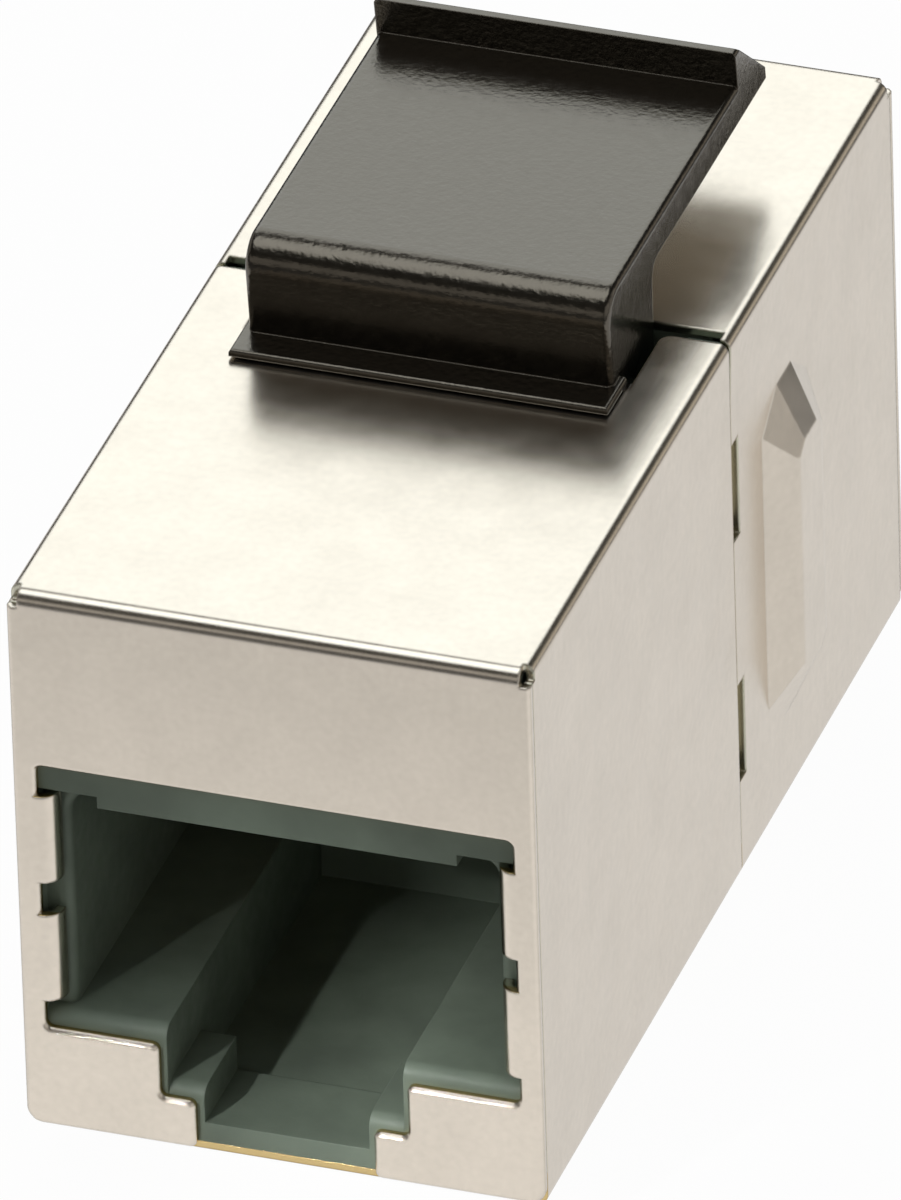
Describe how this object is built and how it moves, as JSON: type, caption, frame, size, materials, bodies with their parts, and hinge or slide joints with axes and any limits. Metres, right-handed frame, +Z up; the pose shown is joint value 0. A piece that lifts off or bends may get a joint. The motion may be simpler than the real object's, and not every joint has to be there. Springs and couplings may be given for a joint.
{
  "type": "keystone jack",
  "caption": "Shielded in-line keystone jack: a folded metal sleeve with a modular plug socket at each end and a sprung plastic latch on top that clips it into a panel.",
  "frame": {"origin": "below the middle of the sleeve, on the level of the fixed lug's tip", "axes": "+Y from the front socket to the rear socket, +Z up through the latch, +X to the right as seen from the front"},
  "size_m": [0.016, 0.031, 0.0223],
  "materials": {
    "shield_plating": "satin nickel plate on folded sheet",
    "housing_plastic": "moulded, fine grain",
    "latch_plastic": "moulded, fine semi-gloss grain",
    "block_plastic": "moulded",
    "board_laminate": "green solder mask",
    "contact_plating": "gold plated spring wire"
  },
  "bodies": {
    "body": {"front_shield": "shield_plating", "rear_shield": "shield_plating", "front_housing": "housing_plastic", "rear_housing": "housing_plastic", "circuit_board": "board_laminate", "front_contact_block": "block_plastic", "rear_contact_block": "block_plastic", "front_contact_1": "contact_plating", "front_contact_2": "contact_plating", "front_contact_3": "contact_plating", "front_contact_4": "contact_plating", "front_contact_5": "contact_plating", "front_contact_6": "contact_plating", "front_contact_7": "contact_plating", "front_contact_8": "contact_plating", "rear_contact_1": "contact_plating", "rear_contact_2": "contact_plating", "rear_contact_3": "contact_plating", "rear_contact_4": "contact_plating", "rear_contact_5": "contact_plating", "rear_contact_6": "contact_plating", "rear_contact_7": "contact_plating", "rear_contact_8": "contact_plating"},
    "latch": {"latch": "latch_plastic"}
  },
  "joints": [
    {"name": "latch_press", "type": "hinge", "parent": "body", "child": "latch", "pos_m": [0, -0.0013, 0.01735], "axis": [-1, 0, 0], "range_deg": [0, 8], "stiffness_Nm_per_rad": 0.6}
  ]
}
